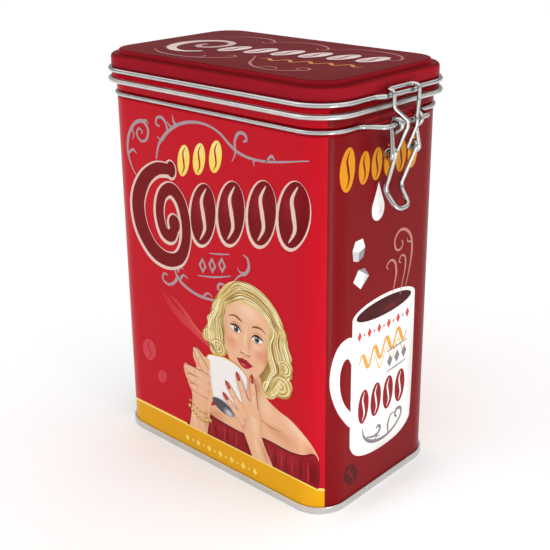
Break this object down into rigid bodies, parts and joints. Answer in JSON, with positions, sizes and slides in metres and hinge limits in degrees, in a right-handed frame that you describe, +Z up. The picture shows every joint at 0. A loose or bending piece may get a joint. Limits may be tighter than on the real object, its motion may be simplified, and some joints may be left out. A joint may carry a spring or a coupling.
{
  "type": "clip-top coffee tin",
  "caption": "Tall rectangular storage tin with rounded corners, a rear-hinged sealing lid and an over-centre wire toggle clip, for keeping ground coffee.",
  "frame": {"origin": "centre of the base, on the surface the tin stands on", "axes": "+Z up the tin; X along the wide face, the clip at +X and the lid hinge at -X; the printed front faces -Y"},
  "size_m": [0.141, 0.0808, 0.1729],
  "materials": {
    "printed_tinplate": "glossy lacquered red print with an ornamental picture",
    "bare_tinplate": "satin bright tin",
    "tinned_wire": "bright tinned wire, lightly drawn",
    "silicone": "milky translucent",
    "sealing_compound": "matt"
  },
  "bodies": {
    "can": {"can_body": "printed_tinplate", "base_plate": "bare_tinplate", "seam_sealant": "sealing_compound", "body_hoop": "tinned_wire"},
    "lid": {"lid_shell": "printed_tinplate", "gasket": "silicone", "lid_hoop": "tinned_wire"},
    "lever": {"clip_lever": "tinned_wire"},
    "bail": {"clip_bail": "tinned_wire"}
  },
  "joints": [
    {"name": "lid_hinge", "type": "hinge", "parent": "can", "child": "lid", "pos_m": [-0.06757, 0, 0.159], "axis": [0, -1, 0], "range_deg": [0, 115]},
    {"name": "lever_pivot", "type": "hinge", "parent": "can", "child": "lever", "pos_m": [0.0676, 0, 0.155], "axis": [0, -1, 0], "range_deg": [0, 150]},
    {"name": "bail_pivot", "type": "hinge", "parent": "lever", "child": "bail", "pos_m": [0.0656, 0, 0.1441], "axis": [0, -1, 0], "range_deg": [-150, 0]}
  ],
  "couplings": [
    {"joint": "bail_pivot", "follows": "lever_pivot", "ratio": -1}
  ]
}
